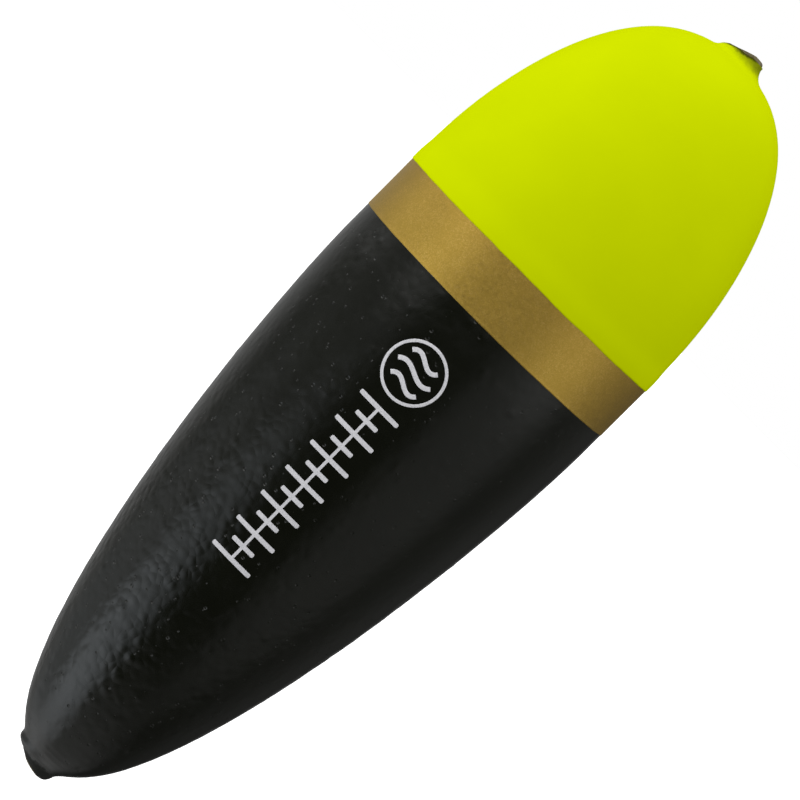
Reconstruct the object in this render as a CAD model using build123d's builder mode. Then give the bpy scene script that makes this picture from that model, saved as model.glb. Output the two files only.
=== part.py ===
from build123d import *
from math import acos, cos, radians, sin, sqrt
import os

# Inline catfish float: a rigid foam body on a glued-in line tube, painted in black, gold and yellow.
# +Z runs along the line bore towards the yellow tip, and the side print faces -Y.
# The origin is the centre of the bore at the black end. All sizes are in millimetres.

# ---- driving dimensions -------------------------------------------------------------------------
LENGTH = 130.0  # over both ends of the line tube
TUBE_RADIUS = 2.25
BORE_RADIUS = 1.5
BORE_MOUTH_CHAMFER = 0.1  # takes the edge off, so that the line isn't cut
TUBE_END_ROUNDING = 0.45
NOSE_RADIUS = 1.85  # the bottom end of the tube narrows to this
NOSE_LENGTH = 0.9
TOP_TRIM_HEIGHT = 129.7  # where the knife cut at the top crosses the axis
TOP_TRIM_ANGLE = 18.0  # the cut falls towards -X, degrees
BOTTOM_TRIM_HEIGHT = 0.19  # where the knife cut at the bottom crosses the axis
BOTTOM_TRIM_ANGLE = 12.0  # the cut rises towards -X, degrees
ADHESIVE_THICKNESS = 0.15

# The foam body is a straight belt between two superelliptic ends: (r / R)^q + x^p = 1,
# where x goes from 0 at the shoulder to 1 at the pole.
FOAM_RADIUS = 20.67
BOTTOM_POLE = 1.47
LOWER_SHOULDER = 78.2
LOWER_P = 1.50
LOWER_Q = 2.16
UPPER_SHOULDER = 92.6
TOP_POLE = 127.74
UPPER_P = 1.95
UPPER_Q = 2.40

# A bead of sealant closes the corner between the foam and the tube at each end. The bottom one
# runs out where the tube's nose begins.
BOTTOM_BEAD_FOOT_RADIUS = 4.0
TOP_BEAD_FOOT_RADIUS = 4.3
TOP_BEAD_TOE = 129.2
TOP_BEAD_WAIST_RADIUS = 2.65  # the top bead stands up as a short cone

# Paint films, each one laid on those before it. They all end on the belt or at a tube end.
PRIMER_THICKNESS = 0.12
BLACK_THICKNESS = 0.12
GOLD_THICKNESS = 0.05
YELLOW_THICKNESS = 0.10
PRINT_THICKNESS = 0.03
BARE_TUBE_TOP = 0.45
BARE_TUBE_BOTTOM = 0.15
PRIMER_SHORTFALL = 0.3  # the black wraps past the bottom end of the primer
GOLD_FOOT = 82.4
YELLOW_FOOT = 90.4
MASK_TOP = 91.9  # the black and the gold both stop here, under the yellow
YELLOW_STEP_TOP = 92.1  # above the masked edge the yellow lies on the primer

# Side print, one foil transfer: waves in a ring, over a depth scale that runs down the side.
RING_CENTRE = 72.5
RING_RADIUS = 4.2
RING_STROKE = 0.4
WAVE_COUNT = 3
WAVE_PITCH = 1.9
WAVE_WIDTH = 5.6
WAVE_NARROWING = 1.2  # the waves above and below the middle one are this much narrower
WAVE_RISE = 0.5
WAVE_STROKE = 0.6
SCALE_TOP = 66.4
SCALE_PITCH = 2.2
SCALE_MARKS = 13
LONG_MARK = 6.4
SHORT_MARK = 3.6
MARK_STROKE = 0.6
MARK_CORNER = 0.2
SPINE_STROKE = 0.4

# ---- derived sizes ------------------------------------------------------------------------------
# A skin is a surface's distance outwards from the bare foam.
PRIMER_SKIN = PRIMER_THICKNESS
BLACK_SKIN = PRIMER_SKIN + BLACK_THICKNESS
GOLD_SKIN = BLACK_SKIN + GOLD_THICKNESS
YELLOW_SKIN = PRIMER_SKIN + YELLOW_THICKNESS
YELLOW_LIP_SKIN = GOLD_SKIN + YELLOW_THICKNESS
PRINT_SKIN = BLACK_SKIN + PRINT_THICKNESS
HOLE_RADIUS = TUBE_RADIUS + ADHESIVE_THICKNESS
PAINT_TOP = LENGTH - BARE_TUBE_TOP
LOWER_END = (LOWER_SHOULDER, BOTTOM_POLE, LOWER_P, LOWER_Q)
UPPER_END = (UPPER_SHOULDER, TOP_POLE, UPPER_P, UPPER_Q)
OUTLINE_SPANS = 12  # on each end of the outline


# ---- the outline: points are (r, z) ---------------------------------------------------------------
def end_normal(angle, shoulder, pole, p, q):
    """The outward direction of one end of the outline, from 0 at the shoulder to pi / 2 at the pole."""
    normal_r = q * cos(angle) ** (2 - 2 / q) / FOAM_RADIUS
    normal_z = p * sin(angle) ** (2 - 2 / p) / (pole - shoulder)
    size = sqrt(normal_r**2 + normal_z**2)
    return normal_r / size, normal_z / size


def end_point(angle, skin, shoulder, pole, p, q):
    """The point of one end of the outline at this angle, a skin's distance out from the foam."""
    out_r, out_z = end_normal(angle, shoulder, pole, p, q)
    r = FOAM_RADIUS * cos(angle) ** (2 / q) + skin * out_r
    z = shoulder + (pole - shoulder) * sin(angle) ** (2 / p) + skin * out_z
    return r, z


def angle_at(foam_r, q):
    """The angle at which the bare foam has this radius."""
    return acos((foam_r / FOAM_RADIUS) ** (q / 2))


def foot_slope(foot_angle, end):
    """dz / dr of the outline where a bead's foot lies."""
    out_r, out_z = end_normal(foot_angle, *end)
    return -out_r / out_z


LOWER_FOOT_ANGLE = angle_at(BOTTOM_BEAD_FOOT_RADIUS, LOWER_Q)
UPPER_FOOT_ANGLE = angle_at(TOP_BEAD_FOOT_RADIUS, UPPER_Q)
LOWER_FOOT_SLOPE = foot_slope(LOWER_FOOT_ANGLE, LOWER_END)
UPPER_FOOT_SLOPE = foot_slope(UPPER_FOOT_ANGLE, UPPER_END)
STEPS = [step / OUTLINE_SPANS for step in range(OUTLINE_SPANS + 1)]


def bottom_foot(skin):
    return end_point(LOWER_FOOT_ANGLE, skin, *LOWER_END)


def top_foot(skin):
    return end_point(UPPER_FOOT_ANGLE, skin, *UPPER_END)


def lower_curve(skin):
    """Draws the body from the foot of the bottom bead to the lower shoulder."""
    Spline([end_point(LOWER_FOOT_ANGLE * (1 - step), skin, *LOWER_END) for step in STEPS])


def upper_curve(skin):
    """Draws the body from the upper shoulder to the foot of the top bead."""
    Spline([end_point(UPPER_FOOT_ANGLE * step, skin, *UPPER_END) for step in STEPS])


def bottom_bead_curve(skin):
    """Draws the hollow flank of the bottom bead, from its toe on the tube to its foot."""
    foot_r, foot_z = bottom_foot(skin)
    tube = TUBE_RADIUS + skin
    corner_z = foot_z + LOWER_FOOT_SLOPE * (tube - foot_r)
    Bezier((tube, NOSE_LENGTH), (tube, corner_z), (foot_r, foot_z))


def top_bead_curve(skin):
    """Draws the flank of the top bead, from its foot up its short cone to its toe on the tube."""
    foot_r, foot_z = top_foot(skin)
    waist = TOP_BEAD_WAIST_RADIUS + skin
    corner_z = foot_z + UPPER_FOOT_SLOPE * (waist - foot_r)
    Bezier((foot_r, foot_z), (waist, corner_z), (TUBE_RADIUS + skin, TOP_BEAD_TOE))


def lower_side(skin):
    """Draws the tube's nose, the bottom bead and the body up to the lower shoulder."""
    Line((NOSE_RADIUS + skin, 0), (TUBE_RADIUS + skin, NOSE_LENGTH))
    bottom_bead_curve(skin)
    lower_curve(skin)


def upper_side(skin):
    """Draws the body from the upper shoulder, the top bead and the end of the tube."""
    tube = TUBE_RADIUS + skin
    upper_curve(skin)
    top_bead_curve(skin)
    Line((tube, TOP_BEAD_TOE), (tube, PAINT_TOP))


def belt(skin, low, high):
    """Draws a stretch of the straight belt."""
    Line((FOAM_RADIUS + skin, low), (FOAM_RADIUS + skin, high))


def save(piece, name):
    """Labels a finished piece and writes its STEP file."""
    piece.part.label = name
    export_step(piece.part, f"parts/{name}.step")


def top_trim(drop):
    """The plane of the knife cut at the top of the tube, moved down by this much."""
    tilt = radians(TOP_TRIM_ANGLE)
    return Plane(origin=(0, 0, TOP_TRIM_HEIGHT - drop), z_dir=(-sin(tilt), 0, cos(tilt)))


def bottom_trim(rise):
    """The plane of the knife cut at the bottom of the tube, moved up by this much."""
    tilt = radians(BOTTOM_TRIM_ANGLE)
    return Plane(origin=(0, 0, BOTTOM_TRIM_HEIGHT + rise), z_dir=(sin(tilt), 0, cos(tilt)))


os.makedirs("parts", exist_ok=True)

# ---- line tube ------------------------------------------------------------------------------------
with BuildPart() as line_tube:
    with BuildSketch(Plane.XZ) as wall:
        with BuildLine():
            Polyline(
                (BORE_RADIUS, 0),
                (NOSE_RADIUS, 0),
                (TUBE_RADIUS, NOSE_LENGTH),
                (TUBE_RADIUS, LENGTH),
                (BORE_RADIUS, LENGTH),
                close=True,
            )
        make_face()
        chamfer(wall.vertices().group_by(Axis.X)[0], BORE_MOUTH_CHAMFER)
        fillet(wall.vertices().group_by(Axis.X)[-1].sort_by(Axis.Y)[-1], TUBE_END_ROUNDING)
    revolve(axis=Axis.Z)
    split(bisect_by=top_trim(0), keep=Keep.BOTTOM)
    split(bisect_by=bottom_trim(0), keep=Keep.TOP)
save(line_tube, "line_tube")

# ---- foam core: the turned body, drilled through, with a flat cone round each end of the hole ------
foam_bottom = end_point(angle_at(HOLE_RADIUS, LOWER_Q), 0, *LOWER_END)[1]
foam_top = end_point(angle_at(HOLE_RADIUS, UPPER_Q), 0, *UPPER_END)[1]
with BuildPart() as foam_core:
    with BuildSketch(Plane.XZ):
        with BuildLine():
            lower_curve(0)
            belt(0, LOWER_SHOULDER, UPPER_SHOULDER)
            upper_curve(0)
            Polyline(top_foot(0), (HOLE_RADIUS, foam_top), (HOLE_RADIUS, foam_bottom), bottom_foot(0))
        make_face()
    revolve(axis=Axis.Z)
save(foam_core, "foam_core")

# ---- adhesive between the tube and the foam --------------------------------------------------------
with BuildPart() as tube_adhesive:
    with BuildSketch(Plane.XY.offset(foam_bottom)):
        Circle(HOLE_RADIUS)
        Circle(TUBE_RADIUS, mode=Mode.SUBTRACT)
    extrude(amount=foam_top - foam_bottom)
save(tube_adhesive, "tube_adhesive")

# ---- sealing beads ----------------------------------------------------------------------------------
with BuildPart() as bottom_sealing_bead:
    with BuildSketch(Plane.XZ):
        with BuildLine():
            bottom_bead_curve(0)
            Polyline(
                bottom_foot(0),
                (HOLE_RADIUS, foam_bottom),
                (TUBE_RADIUS, foam_bottom),
                (TUBE_RADIUS, NOSE_LENGTH),
            )
        make_face()
    revolve(axis=Axis.Z)
save(bottom_sealing_bead, "bottom_sealing_bead")

with BuildPart() as top_sealing_bead:
    with BuildSketch(Plane.XZ):
        with BuildLine():
            top_bead_curve(0)
            Polyline(
                (TUBE_RADIUS, TOP_BEAD_TOE),
                (TUBE_RADIUS, foam_top),
                (HOLE_RADIUS, foam_top),
                top_foot(0),
            )
        make_face()
    revolve(axis=Axis.Z)
    split(bisect_by=top_trim(BARE_TUBE_TOP), keep=Keep.BOTTOM)
save(top_sealing_bead, "top_sealing_bead")

# ---- paint coats --------------------------------------------------------------------------------------
with BuildPart() as white_primer:
    with BuildSketch(Plane.XZ):
        with BuildLine():
            for skin in (0, PRIMER_SKIN):
                lower_side(skin)
                belt(skin, LOWER_SHOULDER, UPPER_SHOULDER)
                upper_side(skin)
            Line((NOSE_RADIUS, 0), (NOSE_RADIUS + PRIMER_SKIN, 0))
            Line((TUBE_RADIUS, PAINT_TOP), (TUBE_RADIUS + PRIMER_SKIN, PAINT_TOP))
        make_face()
    revolve(axis=Axis.Z)
    split(bisect_by=top_trim(BARE_TUBE_TOP), keep=Keep.BOTTOM)
    split(bisect_by=bottom_trim(BARE_TUBE_BOTTOM + PRIMER_SHORTFALL), keep=Keep.TOP)
save(white_primer, "white_primer")

with BuildPart() as black_enamel:
    with BuildSketch(Plane.XZ):
        with BuildLine():
            for skin in (PRIMER_SKIN, BLACK_SKIN):
                lower_side(skin)
                belt(skin, LOWER_SHOULDER, MASK_TOP)
            Line((NOSE_RADIUS + PRIMER_SKIN, 0), (NOSE_RADIUS + BLACK_SKIN, 0))
            Line((FOAM_RADIUS + PRIMER_SKIN, MASK_TOP), (FOAM_RADIUS + BLACK_SKIN, MASK_TOP))
        make_face()
    revolve(axis=Axis.Z)
    split(bisect_by=bottom_trim(BARE_TUBE_BOTTOM), keep=Keep.TOP)
save(black_enamel, "black_enamel")

with BuildPart() as gold_band:
    with BuildSketch(Plane.XY.offset(GOLD_FOOT)):
        Circle(FOAM_RADIUS + GOLD_SKIN)
        Circle(FOAM_RADIUS + BLACK_SKIN, mode=Mode.SUBTRACT)
    extrude(amount=MASK_TOP - GOLD_FOOT)
save(gold_band, "gold_band")

# The yellow laps over the masked edge of the gold and the black, and steps down onto the primer.
with BuildPart() as yellow_top_coat:
    with BuildSketch(Plane.XZ):
        with BuildLine():
            upper_side(PRIMER_SKIN)
            upper_side(YELLOW_SKIN)
            Line((TUBE_RADIUS + PRIMER_SKIN, PAINT_TOP), (TUBE_RADIUS + YELLOW_SKIN, PAINT_TOP))
            Polyline(
                (FOAM_RADIUS + YELLOW_SKIN, UPPER_SHOULDER),
                (FOAM_RADIUS + YELLOW_SKIN, YELLOW_STEP_TOP),
                (FOAM_RADIUS + YELLOW_LIP_SKIN, YELLOW_STEP_TOP),
                (FOAM_RADIUS + YELLOW_LIP_SKIN, YELLOW_FOOT),
                (FOAM_RADIUS + GOLD_SKIN, YELLOW_FOOT),
                (FOAM_RADIUS + GOLD_SKIN, MASK_TOP),
                (FOAM_RADIUS + PRIMER_SKIN, MASK_TOP),
                (FOAM_RADIUS + PRIMER_SKIN, UPPER_SHOULDER),
            )
        make_face()
    revolve(axis=Axis.Z)
    split(bisect_by=top_trim(BARE_TUBE_TOP), keep=Keep.BOTTOM)
save(yellow_top_coat, "yellow_top_coat")


# ---- side print -----------------------------------------------------------------------------------------
def wave_stroke(width, height):
    """One wave, a crest and a trough, as a face of even width."""
    half = width / 2
    with BuildSketch() as stroke:
        with BuildLine() as middle:
            Spline(
                (-half, height),
                (-half / 2, height + WAVE_RISE),
                (0, height),
                (half / 2, height - WAVE_RISE),
                (half, height),
            )
        trace(middle.line, line_width=WAVE_STROKE)
    return stroke.sketch


with BuildPart() as side_print:
    with BuildSketch(Plane.XZ):
        with Locations((0, RING_CENTRE)):
            Circle(RING_RADIUS)
            Circle(RING_RADIUS - RING_STROKE, mode=Mode.SUBTRACT)
        for wave in range(WAVE_COUNT):
            from_middle = wave - (WAVE_COUNT - 1) / 2
            width = WAVE_WIDTH - abs(from_middle) * WAVE_NARROWING
            add(wave_stroke(width, RING_CENTRE + from_middle * WAVE_PITCH))
        for mark in range(SCALE_MARKS):
            with Locations((0, SCALE_TOP - mark * SCALE_PITCH)):
                RectangleRounded(SHORT_MARK if mark % 2 else LONG_MARK, MARK_STROKE, MARK_CORNER)
        with Locations((0, SCALE_TOP)):
            spine_length = (SCALE_MARKS - 1) * SCALE_PITCH
            Rectangle(SPINE_STROKE, spine_length, align=(Align.CENTER, Align.MAX))
    extrude(amount=FOAM_RADIUS + 1)
    with BuildSketch(Plane.XZ):
        with BuildLine():
            lower_curve(BLACK_SKIN)
            lower_curve(PRINT_SKIN)
            Line(bottom_foot(BLACK_SKIN), bottom_foot(PRINT_SKIN))
            Line((FOAM_RADIUS + BLACK_SKIN, LOWER_SHOULDER), (FOAM_RADIUS + PRINT_SKIN, LOWER_SHOULDER))
        make_face()
    revolve(axis=Axis.Z, mode=Mode.INTERSECT)
save(side_print, "side_print")
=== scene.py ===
import itertools
import math

import bmesh
import bpy
import numpy as np
from mathutils import Matrix, Vector
from mathutils.bvhtree import BVHTree


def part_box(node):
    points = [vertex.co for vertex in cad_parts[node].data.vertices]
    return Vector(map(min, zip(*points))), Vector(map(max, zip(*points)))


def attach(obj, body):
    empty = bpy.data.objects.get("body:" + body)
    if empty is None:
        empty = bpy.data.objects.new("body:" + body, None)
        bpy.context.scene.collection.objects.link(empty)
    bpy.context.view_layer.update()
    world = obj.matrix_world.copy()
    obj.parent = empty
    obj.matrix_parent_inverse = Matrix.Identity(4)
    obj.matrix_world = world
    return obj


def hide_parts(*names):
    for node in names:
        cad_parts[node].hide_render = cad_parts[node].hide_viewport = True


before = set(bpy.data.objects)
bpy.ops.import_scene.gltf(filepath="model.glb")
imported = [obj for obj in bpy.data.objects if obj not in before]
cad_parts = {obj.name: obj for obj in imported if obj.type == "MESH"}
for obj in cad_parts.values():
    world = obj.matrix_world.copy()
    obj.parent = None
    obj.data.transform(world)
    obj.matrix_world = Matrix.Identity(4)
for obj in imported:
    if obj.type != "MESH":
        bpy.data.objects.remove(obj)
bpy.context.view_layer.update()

MM = 0.001
GRID = 0.30 * MM  # spacing of the painted surfaces' rows
SEGMENTS = 432  # around the body
OUTLINE_RAYS = 6000  # up the side of a turned node
INNER_STEP = 1.5 * MM  # spacing of the rows on the hidden side of a film


# ---- the frame's own shapes ------------------------------------------------------------------------


def outer_outline(node):
    """(r, z) of a turned CAD node's outside on its +X side, from its lowest point to its highest."""
    tree = BVHTree.FromObject(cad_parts[node], bpy.context.evaluated_depsgraph_get())
    low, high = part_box(node)
    edge = 0.002 * MM
    points = []
    for z in np.linspace(low.z + edge, high.z - edge, OUTLINE_RAYS):
        hit = tree.ray_cast(Vector((2 * high.x, 0, z)), Vector((-1, 0, 0)))[0]
        if hit:
            points.append((hit.x, z))
    return np.array(points)


def spaced(points, step):
    """The same line with its points step apart."""
    lengths = np.concatenate([[0], np.cumsum(np.hypot(*np.diff(points, axis=0).T))])
    places = np.linspace(0, lengths[-1], max(2, round(lengths[-1] / step) + 1))
    return np.column_stack([np.interp(places, lengths, points[:, axis]) for axis in (0, 1)])


def smooth_step(value, low, high):
    share = np.clip((value - low) / (high - low), 0, 1)
    return share * share * (3 - 2 * share)


# ---- seeded noise ----------------------------------------------------------------------------------

SALTS_PER_SEED = 97
TABLE_SIZE = 4096
SCATTER = (73856093, 19349663, 83492791)  # primes that spread neighbouring cells over the table


def cell_values(cells, seed, salt):
    """One steady value from 0 to 1 for each whole-number cell. Another salt gives other values."""
    table = np.random.default_rng(seed * SALTS_PER_SEED + salt).random(TABLE_SIZE)
    across, along, up = (cells[:, axis] * prime for axis, prime in enumerate(SCATTER))
    return table[np.abs(across ^ along ^ up) % TABLE_SIZE]


def soft_noise(points, size, seed):
    """Smooth noise from -1 to 1, with swellings about this size."""
    spots = points / size
    cells = np.floor(spots).astype(np.int64)
    share = spots - cells
    share = share * share * (3 - 2 * share)
    total = np.zeros(len(points))
    for corner in itertools.product((0, 1), repeat=3):
        weight = np.prod(np.where(corner, share, 1 - share), axis=1)
        total += weight * (2 * cell_values(cells + np.array(corner), seed, 0) - 1)
    return total


def nibs(points, pitch, width, share, seed):
    """Round bumps from 0 to 1: one in each cell of this pitch, for this share of the cells."""
    cells = np.floor(points / pitch).astype(np.int64)
    total = np.zeros(len(points))
    for corner in itertools.product((-1, 0, 1), repeat=3):
        near = cells + np.array(corner)
        centre = np.column_stack([cell_values(near, seed, salt) for salt in (1, 2, 3)])
        gap = np.linalg.norm(points - (near + centre) * pitch, axis=1)
        there = cell_values(near, seed, 4) < share
        total += there * np.exp(-((gap / width) ** 2))
    return np.minimum(total, 1)


# ---- turned films ----------------------------------------------------------------------------------

ANGLES = np.linspace(0, 2 * math.pi, SEGMENTS, endpoint=False)
EDGE_CIRCLE = 21 * MM  # where the masked edges read their noise, near the body's radius


def ring_rows(outline):
    """Points and outward directions, rows by segments by xyz, of a line turned about the Z axis."""
    along = np.gradient(outline, axis=0)
    along /= np.maximum(np.hypot(*along.T), 1e-12)[:, None]
    round_trip = np.column_stack([np.cos(ANGLES), np.sin(ANGLES)])
    points = np.empty((len(outline), SEGMENTS, 3))
    normals = np.empty_like(points)
    points[..., :2] = outline[:, 0, None, None] * round_trip
    points[..., 2] = outline[:, 1, None]
    normals[..., :2] = along[:, 1, None, None] * round_trip
    normals[..., 2] = -along[:, 0, None]
    return points, normals


def mesh_object(name, points, faces, material):
    mesh = bpy.data.meshes.new(name)
    mesh.from_pydata(points.reshape(-1, 3), [], faces.tolist())
    mesh.materials.append(material)
    mesh.shade_smooth()
    piece = bpy.data.objects.new(name, mesh)
    bpy.context.scene.collection.objects.link(piece)
    return piece


def closed_film(name, outside, inside, material):
    """A closed solid between two sets of rows that run the same way."""
    points = np.concatenate([outside, inside[::-1]])
    rows = len(points)
    row = np.arange(rows)[:, None]
    column = np.arange(SEGMENTS)[None, :]
    next_row = (row + 1) % rows
    next_column = (column + 1) % SEGMENTS
    corners = [(row, column), (row, next_column), (next_row, next_column), (next_row, column)]
    faces = np.stack([r * SEGMENTS + c for r, c in corners], axis=-1)
    return mesh_object(name, points, faces.reshape(-1, 4), material)


def raised(points, normals, height):
    """The rows moved outwards by a height for each point."""
    return points + normals * height.reshape(points.shape[:2])[..., None]


def body_swell(points):
    """The slow unevenness of the sanded foam, which every film over it follows."""
    slow = soft_noise(points, size=11 * MM, seed=3)
    quick = soft_noise(points, size=4.5 * MM, seed=4)
    return 0.026 * MM * slow + 0.009 * MM * quick


def push_out(points, distance):
    """Moves rows away from the Z axis."""
    points[..., 0] += distance * np.cos(ANGLES)
    points[..., 1] += distance * np.sin(ANGLES)


def blob(points, centre, above, below, size, turn=0.0):
    """How far a blob on the -X side stands out. It fades over the reaches above and below its centre."""
    up = points[..., 2] - centre
    reach = np.where(up > 0, above, below)
    side = np.clip(-np.cos(ANGLES - turn), 0, 1) ** 1.5
    return size * np.exp(-((up / reach) ** 2)) * side


def edge_wave(seed, size):
    """A masked edge's wander in height for each segment."""
    circle = np.column_stack([np.cos(ANGLES), np.sin(ANGLES), np.zeros(SEGMENTS)]) * EDGE_CIRCLE
    return size * (0.65 * soft_noise(circle, 7 * MM, seed) + 0.35 * soft_noise(circle, 1.6 * MM, seed + 1))


# ---- material tools --------------------------------------------------------------------------------


class Finish:
    """A material with one Principled shader, and short ways to add nodes to it."""

    def __init__(self, name, **sockets):
        self.material = bpy.data.materials.new(name)
        self.material.use_nodes = True
        self.tree = self.material.node_tree
        self.shader = self.tree.nodes["Principled BSDF"]
        for socket, value in sockets.items():
            self.shader.inputs[socket.replace("_", " ")].default_value = value
        self.place = self.tree.nodes.new("ShaderNodeTexCoord").outputs["Object"]

    def node(self, kind, **settings):
        made = self.tree.nodes.new("ShaderNode" + kind)
        for name, value in settings.items():
            setattr(made, name, value)
        return made

    def feed(self, socket, value):
        """Links an output, or sets a constant."""
        if isinstance(value, bpy.types.NodeSocket):
            self.tree.links.new(value, socket)
        else:
            socket.default_value = value

    def math(self, operation, first, second=0.0, third=0.0):
        made = self.node("Math", operation=operation)
        for socket, value in zip(made.inputs, (first, second, third)):
            self.feed(socket, value)
        return made.outputs[0]

    def noise(self, size, detail=2.0, roughness=0.5, stretch=None):
        """Noise from 0 to 1 with features of this size in metres."""
        made = self.node("TexNoise")
        place = self.place
        if stretch:
            mapping = self.node("Mapping")
            mapping.inputs["Scale"].default_value = stretch
            self.feed(mapping.inputs["Vector"], place)
            place = mapping.outputs[0]
        self.feed(made.inputs["Vector"], place)
        made.inputs["Scale"].default_value = 1 / size
        made.inputs["Detail"].default_value = detail
        made.inputs["Roughness"].default_value = roughness
        return made.outputs["Fac"]

    def cells(self, size):
        """The distance to a cell's seed, in cells, and the cell's own random colour."""
        made = self.node("TexVoronoi")
        self.feed(made.inputs["Vector"], self.place)
        made.inputs["Scale"].default_value = 1 / size
        return made.outputs["Distance"], made.outputs["Color"]

    def axes(self):
        """The place on the object as x, y and z."""
        split = self.node("SeparateXYZ")
        self.feed(split.inputs[0], self.place)
        return split.outputs

    def ranged(self, value, low, high, to_low, to_high, smooth=False):
        made = self.node("MapRange")
        if smooth:
            made.interpolation_type = "SMOOTHSTEP"
        for socket, number in zip(made.inputs, (value, low, high, to_low, to_high)):
            self.feed(socket, number)
        return made.outputs[0]

    def drift(self, size, detail, roughness, low, high):
        """A value that drifts between low and high, by noise of this size in metres."""
        return self.ranged(self.noise(size, detail, roughness), 0.3, 0.7, low, high)

    def ramp(self, value, *stops):
        """A colour ramp of (position, rgb) stops."""
        made = self.node("ValToRGB")
        elements = made.color_ramp.elements
        while len(elements) < len(stops):
            elements.new(0.5)
        for element, (position, colour) in zip(elements, stops):
            element.position = position
            element.color = (*colour, 1)
        self.feed(made.inputs[0], value)
        return made.outputs[0]

    def mix(self, share, first, second):
        """Two colours mixed; each is an output or an rgb."""
        made = self.node("Mix", data_type="RGBA")
        for socket, value in zip((made.inputs[0], made.inputs[6], made.inputs[7]), (share, first, second)):
            self.feed(socket, (*value, 1) if isinstance(value, tuple) else value)
        return made.outputs[2]

    def spots(self, size, smallest, largest, edge, share):
        """Scattered round spots from 0 to 1. All but size are in cells; share is how many cells have one."""
        distance, own = self.cells(size)
        radius = self.ranged(own, 1 - share, 1.0, smallest, largest)
        there = self.math("GREATER_THAN", own, 1 - share)
        spot = self.ranged(self.math("SUBTRACT", radius, distance), 0.0, edge, 0, 1, smooth=True)
        return self.math("MULTIPLY", spot, there)

    def bump(self, height, distance, under=None, strength=1.0):
        """Tilts the surface by a height pattern of 0 to 1, this many metres high."""
        made = self.node("Bump")
        self.feed(made.inputs["Strength"], strength)
        made.inputs["Distance"].default_value = distance
        self.feed(made.inputs["Height"], height)
        if under:
            self.feed(made.inputs["Normal"], under)
        return made.outputs[0]

    def set(self, **sockets):
        for socket, value in sockets.items():
            self.feed(self.shader.inputs[socket.replace("_", " ")], value)
        return self.material


# ---- materials -------------------------------------------------------------------------------------

TOP_CUT_SLOPE = math.tan(math.radians(18))  # the tube's top end rises towards +X
TOP_CUT_DROP = 0.3 * MM  # from the tube's top to the cut at its axis
BOTTOM_CUT_SLOPE = math.tan(math.radians(12))  # the bottom end rises towards -X
STRIP_TURN = math.radians(65)  # to the strip of bare tube, from +X towards the print


def black_lacquer():
    f = Finish("black_lacquer", Specular_IOR_Level=0.5)
    tone = f.noise(9 * MM, 3, 0.6)
    colour = f.ramp(tone, (0.3, (0.0040, 0.0046, 0.0020)), (0.7, (0.0056, 0.0064, 0.0031)))
    # Lighter specks: partly dust, partly painted glints on the lacquer's pebbles.
    dust_and_glints = f.spots(0.8 * MM, smallest=0.02, largest=0.16, edge=0.06, share=0.45)
    colour = f.mix(f.math("MULTIPLY", dust_and_glints, 0.5), colour, (0.04, 0.04, 0.036))
    sideways, _, height = f.axes()
    # The tip is rubbed dull.
    wobble = f.drift(0.6 * MM, 3, 0.6, -0.3 * MM, 0.3 * MM)
    worn = f.ranged(f.math("ADD", height, wobble), 1.2 * MM, 1.9 * MM, 1, 0, smooth=True)
    gloss = f.math("MULTIPLY_ADD", worn, 0.6, f.drift(2.2 * MM, 4, 0.6, 0.16, 0.23))
    # The relief is strongest on the lower half, short of the tip, and on the -X side.
    heavy = f.ranged(height, 36 * MM, 66 * MM, 1.0, 0.3, smooth=True)
    heavy = f.math("MULTIPLY", heavy, f.ranged(height, 4 * MM, 17 * MM, 0.3, 1.0, smooth=True))
    one_side = f.ranged(sideways, -2 * MM, 6 * MM, 1.0, 0.4, smooth=True)
    heavy = f.math("MULTIPLY", heavy, one_side)
    # Relief: pebbles, peel, dents, grit and a fine grain.
    uneven = f.math("MULTIPLY", heavy, f.ranged(f.noise(5 * MM, 1, 0.5), 0.35, 0.65, 0.5, 1.1))
    pebble = f.cells(1.25 * MM)[0]
    pebbles = f.bump(f.ranged(pebble, 0.05, 0.8, 1, 0, smooth=True), 0.045 * MM, strength=uneven)
    peel = f.bump(f.noise(1.6 * MM, 1, 0.4), 0.050 * MM, pebbles, strength=heavy)
    pits = f.spots(1.3 * MM, smallest=0.10, largest=0.26, edge=0.12, share=0.65)
    dents = f.bump(pits, -0.15 * MM, peel, strength=heavy)
    grains = f.spots(1.1 * MM, smallest=0.06, largest=0.22, edge=0.10, share=0.45)
    grit = f.bump(grains, 0.075 * MM, dents, strength=one_side)
    fine = f.bump(f.noise(0.16 * MM, 2, 0.5), 0.0012 * MM, grit)
    return f.set(Base_Color=colour, Roughness=gloss, Normal=fine)


def gold_paint():
    f = Finish("gold_paint", Specular_IOR_Level=0.4)
    flake_own = f.cells(0.14 * MM)[1]
    flake = f.ramp(
        flake_own,
        (0.0, (0.54, 0.350, 0.060)),
        (0.55, (0.63, 0.410, 0.078)),
        (1.0, (0.76, 0.520, 0.135)),
    )
    cloud = f.noise(2.5 * MM, 4, 0.65)
    colour = f.mix(f.ranged(cloud, 0.35, 0.65, 0.0, 0.45), flake, (0.56, 0.365, 0.062))
    gloss = f.drift(0.5 * MM, 3, 0.6, 0.34, 0.44)
    metal = f.ranged(flake_own, 0.0, 1.0, 0.85, 1.0)
    grain = f.bump(f.noise(0.3 * MM, 3, 0.6), 0.006 * MM)
    flakes = f.bump(flake_own, 0.0025 * MM, grain)
    return f.set(Base_Color=colour, Roughness=gloss, Metallic=metal, Normal=flakes)


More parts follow.
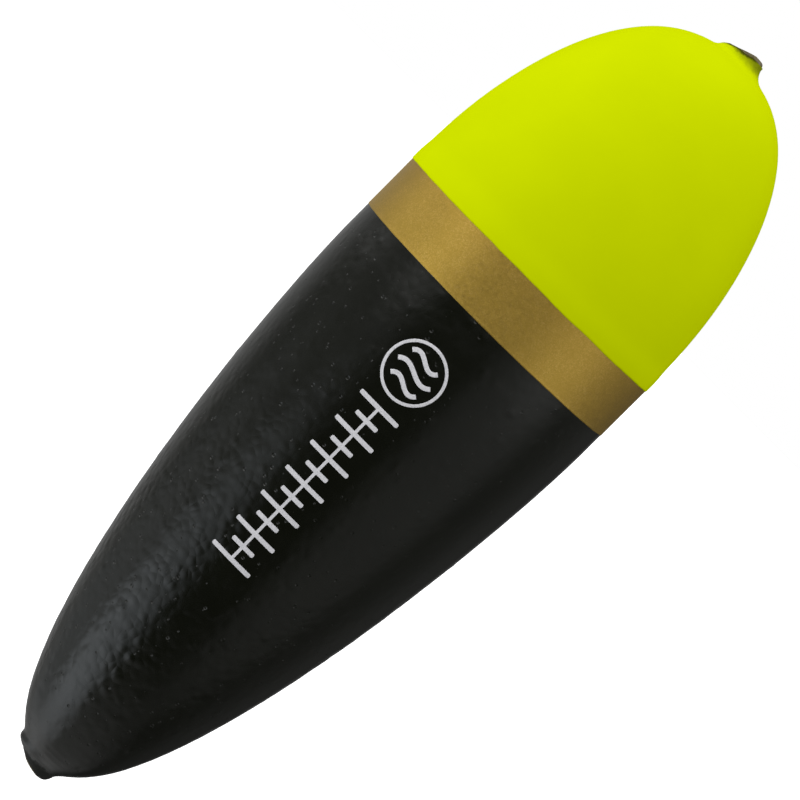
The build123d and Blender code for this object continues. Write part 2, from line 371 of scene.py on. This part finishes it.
def fluorescent_yellow(top):
    """top is the height of the tube's top end. Near it the paint is stained olive, partly thin paint over
    the tube and partly painted shade, strongest on the +X side away from the lights, and dark at its end.
    """
    f = Finish("fluorescent_yellow", Specular_IOR_Level=0.0)
    cloud = f.noise(14 * MM, 3, 0.5)
    colour = f.ramp(cloud, (0.35, (0.705, 0.845, 0.0)), (0.65, (0.735, 0.875, 0.0)))
    x, y, z = f.axes()
    wobble = f.drift(0.7 * MM, 3, 0.6, -0.12 * MM, 0.12 * MM)
    cut = f.math("MULTIPLY_ADD", x, TOP_CUT_SLOPE, top - TOP_CUT_DROP)
    below = f.math("ADD", f.math("SUBTRACT", cut, z), wobble)
    spread = f.math("ADD", f.math("MULTIPLY", x, x), f.math("MULTIPLY", y, y))
    near_axis = f.ranged(spread, (2.9 * MM) ** 2, (3.9 * MM) ** 2, 1, 0)
    stain = f.ranged(f.math("ADD", z, wobble), top - 2.3 * MM, top - 0.9 * MM, 0, 1, smooth=True)
    # Painted shade: the olive is stronger on the +X side, which faces away from the strongest lights.
    stain = f.math("MULTIPLY", stain, f.ranged(x, -2.4 * MM, 2.2 * MM, 0.3, 1.0))
    colour = f.mix(f.math("MULTIPLY", stain, near_axis), colour, (0.25, 0.29, 0.006))
    # The strip of bare tube faces STRIP_TURN round from +X towards the print.
    towards = f.math("ADD", f.math("MULTIPLY", x, 0.42), f.math("MULTIPLY", y, -0.91))
    bare_strip = f.ranged(towards, 1.2 * MM, 2.3 * MM, 0.06 * MM, 0.56 * MM, smooth=True)
    seam = f.ranged(f.math("SUBTRACT", below, bare_strip), 0.02 * MM, 0.30 * MM, 1, 0)
    colour = f.mix(f.math("MULTIPLY", seam, near_axis), colour, (0.075, 0.080, 0.006))
    gloss = f.drift(1.2 * MM, 3, 0.6, 0.55, 0.68)
    grain = f.bump(f.noise(0.35 * MM, 2, 0.5), 0.0025 * MM)
    slow = f.bump(f.noise(2.0 * MM, 2, 0.5), 0.006 * MM, grain)
    return f.set(Base_Color=colour, Roughness=gloss, Normal=slow)


def silver_foil():
    f = Finish("silver_foil", Specular_IOR_Level=0.5)
    speckle = f.noise(0.22 * MM, 3, 0.6)
    colour = f.ramp(speckle, (0.32, (0.70, 0.70, 0.73)), (0.55, (0.88, 0.87, 0.90)))
    gloss = f.drift(0.5 * MM, 2, 0.5, 0.38, 0.5)
    grain = f.bump(speckle, 0.004 * MM)
    return f.set(Base_Color=colour, Roughness=gloss, Normal=grain)


def tube_plastic():
    f = Finish("tube_plastic", Specular_IOR_Level=0.4)
    stain = f.noise(0.8 * MM, 4, 0.6)
    colour = f.ramp(stain, (0.3, (0.10, 0.080, 0.030)), (0.7, (0.24, 0.20, 0.10)))
    gloss = f.drift(0.4 * MM, 3, 0.6, 0.42, 0.6)
    scores = f.bump(f.noise(0.25 * MM, 3, 0.6, (1, 1, 0.2)), 0.01 * MM)
    return f.set(Base_Color=colour, Roughness=gloss, Normal=scores)


def foam():
    f = Finish("rigid_foam", Specular_IOR_Level=0.2)
    distance, own = f.cells(0.5 * MM)
    colour = f.ramp(own, (0.0, (0.70, 0.67, 0.58)), (1.0, (0.82, 0.79, 0.71)))
    gloss = f.drift(1.0 * MM, 2, 0.5, 0.75, 0.9)
    return f.set(Base_Color=colour, Roughness=gloss, Normal=f.bump(distance, 0.12 * MM))


def cured_glue(name, low, high):
    f = Finish(name, Specular_IOR_Level=0.5)
    colour = f.ramp(f.noise(1.5 * MM, 3, 0.5), (0.3, low), (0.7, high))
    gloss = f.drift(0.8 * MM, 2, 0.5, 0.2, 0.4)
    return f.set(Base_Color=colour, Roughness=gloss, Normal=f.bump(f.noise(0.9 * MM, 2, 0.5), 0.02 * MM))


def flat_primer():
    f = Finish("flat_primer", Specular_IOR_Level=0.3)
    colour = f.ramp(f.noise(3 * MM, 3, 0.5), (0.3, (0.74, 0.74, 0.72)), (0.7, (0.82, 0.82, 0.80)))
    gloss = f.drift(0.6 * MM, 2, 0.5, 0.7, 0.85)
    return f.set(Base_Color=colour, Roughness=gloss, Normal=f.bump(f.noise(0.4 * MM, 2, 0.5), 0.01 * MM))


# ---- pieces ----------------------------------------------------------------------------------------

tube_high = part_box("line_tube")[1]
gold_low, gold_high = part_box("gold_band")
TUBE_RADIUS = tube_high.x
TUBE_TOP = tube_high.z
GOLD_FOOT = gold_low.z
MASK_TOP = gold_high.z
YELLOW_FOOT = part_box("yellow_top_coat")[0].z
TIP_GRID = 0.12 * MM  # closer rows where the body runs into the tube
TIP_RADIUS = 6.5 * MM
OUTLINES = {node: outer_outline(node) for node in ("black_enamel", "white_primer", "yellow_top_coat")}
TUCK = 0.01 * MM  # how far the yellow's end sinks into the tube
CLOSING_RISE = 0.03 * MM  # of the rows that close the yellow on the tube
PRINT_GRID = 0.25 * MM
WELD = 1e-7  # points closer than this are one point
SLIVER = 2e-6  # points of the print closer than this after its cuts are one point


def graded(outline):
    """The outline with closer points near the tube."""
    tip = outline[:, 0] < TIP_RADIUS
    stretches = (
        (tip & (outline[:, 1] < GOLD_FOOT), TIP_GRID),
        (~tip, GRID),
        (tip & (outline[:, 1] > MASK_TOP), TIP_GRID),
    )
    return np.concatenate([spaced(outline[mask], step) for mask, step in stretches if mask.any()])


def knife_cut(points):
    """Raises the end of the film to follow the slanting cut of the tube, which rises towards -X."""
    bent_height, rise_at_axis = 1.6 * MM, 0.27 * MM
    share = 1 - np.clip(points[..., 2] / bent_height, 0, 1)
    cut = rise_at_axis - BOTTOM_CUT_SLOPE * points[..., 0]
    points[..., 2] += share * np.clip(cut, 0, None)
    return points


def black_piece():
    coat = OUTLINES["black_enamel"].copy()
    primer = OUTLINES["white_primer"]
    lip_height, lip_depth = 0.6 * MM, 0.23 * MM
    rounding = 1 - np.clip(coat[:, 1] / lip_height, 0, 1)
    coat[:, 0] -= lip_depth * (1 - np.sqrt(1 - rounding**2))
    outline = graded(coat)
    points, normals = ring_rows(outline)
    flat = points.reshape(-1, 3)
    z = flat[:, 2]
    on_body = smooth_step(z, 1.2 * MM, 5 * MM)
    open_to_view = on_body * (1 - smooth_step(z, GOLD_FOOT - 0.1 * MM, GOLD_FOOT + 0.4 * MM))
    peel = soft_noise(flat * (1, 1, 0.8), size=0.95 * MM, seed=5)
    bumps = nibs(flat, pitch=2.1 * MM, width=0.45 * MM, share=0.5, seed=6)
    pits = nibs(flat, pitch=2.6 * MM, width=0.42 * MM, share=0.4, seed=7)
    heavy = 1 - 0.75 * smooth_step(z, 38 * MM, 68 * MM)
    texture = heavy * (0.018 * MM * peel - 0.040 * MM * pits) + 0.045 * MM * bumps
    points = raised(points, normals, body_swell(flat) * on_body + texture * open_to_view)
    points = knife_cut(points)
    # A drop of lacquer hung on the -X side of the tip as it dried.
    turn = math.radians(12)
    push_out(points, blob(points, 2.05 * MM, above=0.75 * MM, below=1.1 * MM, size=1.0 * MM, turn=turn))
    inner = spaced(primer[(primer[:, 1] > 0.4 * MM) & (primer[:, 1] < MASK_TOP)], INNER_STEP)
    inner = np.concatenate([[(1.80 * MM, 0.04 * MM), (1.96 * MM, 0.25 * MM)], inner])
    return closed_film("black_lacquer", points, knife_cut(ring_rows(inner)[0]), black_lacquer())


def gold_piece():
    surface = gold_high.x
    under = surface - 0.05 * MM
    heights = np.linspace(GOLD_FOOT, MASK_TOP, round((MASK_TOP - GOLD_FOOT) / GRID) + 1)
    ridge = [
        (under, GOLD_FOOT),
        (surface + 0.003 * MM, GOLD_FOOT + 0.02 * MM),
        (surface + 0.007 * MM, GOLD_FOOT + 0.10 * MM),
        (surface + 0.005 * MM, GOLD_FOOT + 0.19 * MM),
    ]
    outline = np.concatenate([ridge, np.column_stack([np.full(len(heights), surface), heights])[1:]])
    points, normals = ring_rows(outline)
    flat = points.reshape(-1, 3)
    grain = 0.0022 * MM * soft_noise(flat, size=0.8 * MM, seed=11)
    points = raised(points, normals, body_swell(flat) + grain)
    fade = 1 - smooth_step(points[..., 2], GOLD_FOOT, GOLD_FOOT + 2 * MM)
    points[..., 2] += edge_wave(seed=21, size=0.05 * MM) * fade
    inner = np.array([(under - 0.03 * MM, GOLD_FOOT + 0.06 * MM), (under - 0.03 * MM, MASK_TOP)])
    return closed_film("gold_band_paint", points, ring_rows(inner)[0], gold_paint())


def yellow_outline():
    """The top coat's outline, and the height where its paint ends. It closes on the tube after that."""
    coat = OUTLINES["yellow_top_coat"]
    belt = coat[coat[:, 1] > MASK_TOP + 0.5 * MM]
    surface = belt[0, 0]
    lip = gold_high.x + 0.10 * MM
    lap_low, lap_high = MASK_TOP - 0.5 * MM, MASK_TOP + 2.6 * MM
    heights = np.arange(YELLOW_FOOT + 0.25 * MM, belt[0, 1], 0.15 * MM)
    overlap = surface + (lip - surface) * (1 - smooth_step(heights, lap_low, lap_high))
    edge = [
        (gold_high.x - 0.01 * MM, YELLOW_FOOT),
        (gold_high.x + 0.055 * MM, YELLOW_FOOT + 0.03 * MM),
        (gold_high.x + 0.088 * MM, YELLOW_FOOT + 0.12 * MM),
    ]
    rest = belt[belt[:, 1] > heights[-1] + 0.1 * MM].copy()
    rest[:, 0] += (lip - surface) * (1 - smooth_step(rest[:, 1], lap_low, lap_high))
    outline = np.concatenate([edge, np.column_stack([overlap, heights]), graded(rest)])
    paint_radius, paint_top = outline[-1]
    close = np.linspace(0.25, 1, 4)
    closing_rows = np.column_stack([
        paint_radius - (paint_radius - TUBE_RADIUS + TUCK) * close**2,
        paint_top + CLOSING_RISE * close,
    ])
    return np.concatenate([outline, closing_rows]), paint_top


def end_on_tube(points, outline, paint_top):
    """Ends the paint at the tube's slanted end, and gives how far each point past that has closed in."""
    bare = 0.05 * MM + 0.36 * MM * smooth_step(np.cos(ANGLES + STRIP_TURN), 0.5, 0.95)
    film_radius = 1.04  # in tube radii
    cut = TUBE_TOP - TOP_CUT_DROP + TOP_CUT_SLOPE * film_radius * TUBE_RADIUS * np.cos(ANGLES)
    end = np.minimum(paint_top, cut - bare)
    past = points[..., 2] - end
    closing = np.clip(past / (0.3 * MM), 0, 1)
    tucked = np.clip(past / (2 * MM), 0, 1) * 0.04 * MM
    r_end = np.interp(end, outline[:, 1], outline[:, 0])
    r_new = r_end + (TUBE_RADIUS - TUCK - r_end) * closing**2 - tucked
    for axis, way in ((0, np.cos(ANGLES)), (1, np.sin(ANGLES))):
        points[..., axis] = np.where(past > 0, r_new * way, points[..., axis])
    points[..., 2] = np.where(past > 0, end + CLOSING_RISE * closing - tucked, points[..., 2])
    return closing


def yellow_piece():
    outline, paint_top = yellow_outline()
    points, normals = ring_rows(outline)
    flat = points.reshape(-1, 3)
    on_body = 1 - smooth_step(flat[:, 2], TUBE_TOP - 5 * MM, TUBE_TOP - 2 * MM)
    ripple = 0.004 * MM * soft_noise(flat, size=2.2 * MM, seed=12)
    points = raised(points, normals, (body_swell(flat) + ripple) * on_body)
    fade = 1 - smooth_step(points[..., 2], YELLOW_FOOT, YELLOW_FOOT + 3 * MM)
    points[..., 2] += edge_wave(seed=31, size=0.11 * MM) * fade
    closing = end_on_tube(points, outline, paint_top)
    # The sealant under the paint is built up on the -X side.
    swell = blob(points, TUBE_TOP - 1.6 * MM, above=0.55 * MM, below=0.9 * MM, size=0.62 * MM)
    push_out(points, swell * (1 - closing**2))
    inner_top = TUBE_TOP - 2.4 * MM
    primer = OUTLINES["white_primer"]
    inner = np.concatenate([
        [(gold_high.x - 0.02 * MM, YELLOW_FOOT + 0.05 * MM)],
        spaced(primer[(primer[:, 1] > MASK_TOP) & (primer[:, 1] < inner_top)], INNER_STEP),
        [(TUBE_RADIUS - 0.02 * MM, inner_top + 0.8 * MM)],
    ])
    return closed_film("yellow_paint", points, ring_rows(inner)[0], fluorescent_yellow(TUBE_TOP))


def print_piece(lacquer):
    """The foil transfer, cut fine and laid on the lacquer's uneven surface."""
    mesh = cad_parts["side_print"].data.copy()
    bm = bmesh.new()
    bm.from_mesh(mesh)
    bmesh.ops.remove_doubles(bm, verts=bm.verts, dist=WELD)
    low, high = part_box("side_print")
    for axis in (0, 2):
        direction = [0, 0, 0]
        direction[axis] = 1
        for place in np.arange(low[axis] + PRINT_GRID, high[axis], PRINT_GRID):
            spot = [0, 0, 0]
            spot[axis] = place
            every = [*bm.verts, *bm.edges, *bm.faces]
            bmesh.ops.bisect_plane(bm, geom=every, dist=WELD, plane_co=spot, plane_no=direction)
    bmesh.ops.remove_doubles(bm, verts=bm.verts, dist=SLIVER)
    foil_rise, foil_root, front_skin = 0.022 * MM, -0.03 * MM, 0.015 * MM
    coat = OUTLINES["black_enamel"]
    tree = BVHTree.FromObject(lacquer, bpy.context.evaluated_depsgraph_get())
    for vertex in bm.verts:
        r = math.hypot(vertex.co.x, vertex.co.y)
        out = Vector((vertex.co.x / r, vertex.co.y / r, 0))
        skin = r - np.interp(vertex.co.z, coat[:, 1], coat[:, 0])
        from_outside = out * 2 * r + Vector((0, 0, vertex.co.z))
        hit = tree.ray_cast(from_outside, -out)[0]
        level = math.hypot(hit.x, hit.y) + (foil_rise if skin > front_skin else foil_root)
        vertex.co = out * level + Vector((0, 0, vertex.co.z))
    bm.to_mesh(mesh)
    bm.free()
    mesh.materials.clear()
    mesh.materials.append(silver_foil())
    piece = bpy.data.objects.new("silver_print", mesh)
    bpy.context.scene.collection.objects.link(piece)
    return piece


def stand_for(piece, node):
    """The piece takes a CAD node's place."""
    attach(piece, "root")
    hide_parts(node)


lacquer = black_piece()
stand_for(lacquer, "black_enamel")
stand_for(gold_piece(), "gold_band")
stand_for(yellow_piece(), "yellow_top_coat")
stand_for(print_piece(lacquer), "side_print")

for node, material in {
    "line_tube": tube_plastic(),
    "foam_core": foam(),
    "tube_adhesive": cured_glue("clear_adhesive", (0.60, 0.55, 0.40), (0.72, 0.68, 0.54)),
    "bottom_sealing_bead": cured_glue("bottom_sealant", (0.50, 0.46, 0.33), (0.62, 0.58, 0.45)),
    "top_sealing_bead": cured_glue("top_sealant", (0.50, 0.46, 0.33), (0.62, 0.58, 0.45)),
    "white_primer": flat_primer(),
}.items():
    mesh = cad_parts[node].data
    mesh.materials.clear()
    mesh.materials.append(material)


# ---- studio ----------------------------------------------------------------------------------------


def soft_light(tree, round_right, rise, half_angle, edge, strength, red):
    """A round soft light far away: a Background shader that fades over its edge. Angles in degrees."""
    turn, lift = math.radians(round_right), math.radians(rise)
    direction = (math.sin(turn) * math.cos(lift), -math.cos(turn) * math.cos(lift), math.sin(lift))
    aim = tree.nodes.new("ShaderNodeVectorMath")
    aim.operation = "DOT_PRODUCT"
    aim.inputs[1].default_value = direction
    tree.links.new(tree.nodes["Direction"].outputs["Generated"], aim.inputs[0])
    fade = tree.nodes.new("ShaderNodeMapRange")
    fade.interpolation_type = "SMOOTHSTEP"
    fade.inputs["From Min"].default_value = math.cos(math.radians(half_angle + edge))
    fade.inputs["From Max"].default_value = math.cos(math.radians(half_angle - edge))
    fade.inputs["To Max"].default_value = strength
    tree.links.new(aim.outputs["Value"], fade.inputs["Value"])
    light = tree.nodes.new("ShaderNodeBackground")
    light.inputs["Color"].default_value = (red, 1, 2 - red, 1)
    tree.links.new(fade.outputs["Result"], light.inputs["Strength"])
    return light.outputs[0]


# Each light's degrees round from the print towards +X, degrees up, half angle, edge, strength and red.
# Blue makes up for red. The strengths started from a fit to the photograph's brightness, and were then
# changed as the renders were compared with it.
SOFT_LIGHTS = (
    (-100, 32, 26, 14, 1.36, 1),
    (-50, 32, 26, 14, 1.46, 1),
    (5, 36, 24, 14, 1.28, 1),
    (70, 32, 28, 14, 0.72, 1),
    (110, 40, 26, 16, 1.00, 1),
    (-68, -5, 30, 20, 0.17, 1),
    (61, -5, 25, 18, 0.23, 1),
    (115, 0, 30, 20, 0.06, 1),
    (-150, -5, 30, 20, 0.27, 1),
    (-47, -38, 18, 9, 0.62, 0.93),
    (-56, -54, 20, 10, 0.44, 0.93),
    (-92, -46, 26, 14, 0.42, 0.96),
    (-150, -60, 22, 12, 0.20, 1),
    (10, -88, 34, 20, 0.36, 1),
)
AMBIENT = 0.04  # from every direction


def studio():
    """Soft lights and a white backdrop, which only the camera sees."""
    world = bpy.data.worlds.new("studio")
    bpy.context.scene.world = world
    world.use_nodes = True
    tree = world.node_tree
    tree.nodes.clear()
    tree.nodes.new("ShaderNodeTexCoord").name = "Direction"
    room = tree.nodes.new("ShaderNodeBackground")
    room.inputs["Strength"].default_value = AMBIENT
    total = room.outputs[0]
    for light in SOFT_LIGHTS:
        add = tree.nodes.new("ShaderNodeAddShader")
        tree.links.new(total, add.inputs[0])
        tree.links.new(soft_light(tree, *light), add.inputs[1])
        total = add.outputs[0]
    backdrop = tree.nodes.new("ShaderNodeBackground")
    backdrop.inputs["Color"].default_value = (1, 1, 1, 1)
    seen = tree.nodes.new("ShaderNodeLightPath")
    choose = tree.nodes.new("ShaderNodeMixShader")
    tree.links.new(seen.outputs["Is Camera Ray"], choose.inputs[0])
    tree.links.new(total, choose.inputs[1])
    tree.links.new(backdrop.outputs[0], choose.inputs[2])
    tree.links.new(choose.outputs[0], tree.nodes.new("ShaderNodeOutputWorld").inputs[0])


def floor():
    """A pale floor below the float. Only the camera sees it, so it doesn't hide the lights from below."""
    width, depth = 30, -0.06
    bpy.ops.mesh.primitive_grid_add(x_subdivisions=4, y_subdivisions=4, size=width, location=(0, 0, depth))
    ground = bpy.context.object
    ground.name = "floor"
    f = Finish("floor", Roughness=0.9, Specular_IOR_Level=0.0)
    shade = f.ramp(f.noise(0.4, 2, 0.5), (0.3, (0.93, 0.93, 0.93)), (0.7, (0.95, 0.95, 0.95)))
    f.shader.inputs["Emission Color"].default_value = (1, 1, 1, 1)
    f.shader.inputs["Emission Strength"].default_value = 0.62
    ground.data.materials.append(f.set(Base_Color=shade))
    ground.visible_diffuse = False
    ground.visible_glossy = False
    ground.visible_shadow = False


def camera():
    """Turned so that the float lies from lower left to upper right."""
    data = bpy.data.cameras.new("camera")
    data.sensor_width = 36
    data.lens = 157.5
    data.clip_start = 0.01
    distance = 447.1 * MM
    turn, rise, roll = math.radians(3.9), math.radians(4.4), math.radians(45.07)
    back = Vector((math.sin(turn) * math.cos(rise), -math.cos(turn) * math.cos(rise), math.sin(rise)))
    right = Vector((math.cos(turn), math.sin(turn), 0))
    up = back.cross(right)
    middle_height, aside = 0.5184, 0.31  # a share of the float's height, and millimetres to the left
    middle = Vector((0, 0, middle_height * TUBE_TOP)) - right * aside * MM
    rolled_right = right * math.cos(roll) + up * math.sin(roll)
    rolled_up = up * math.cos(roll) - right * math.sin(roll)
    place = Matrix((rolled_right, rolled_up, back)).transposed().to_4x4()
    place.translation = middle + back * distance
    eye = bpy.data.objects.new("camera", data)
    bpy.context.scene.collection.objects.link(eye)
    eye.matrix_world = place
    bpy.context.scene.camera = eye


studio()
floor()
camera()
bpy.context.scene.view_settings.view_transform = "Standard"
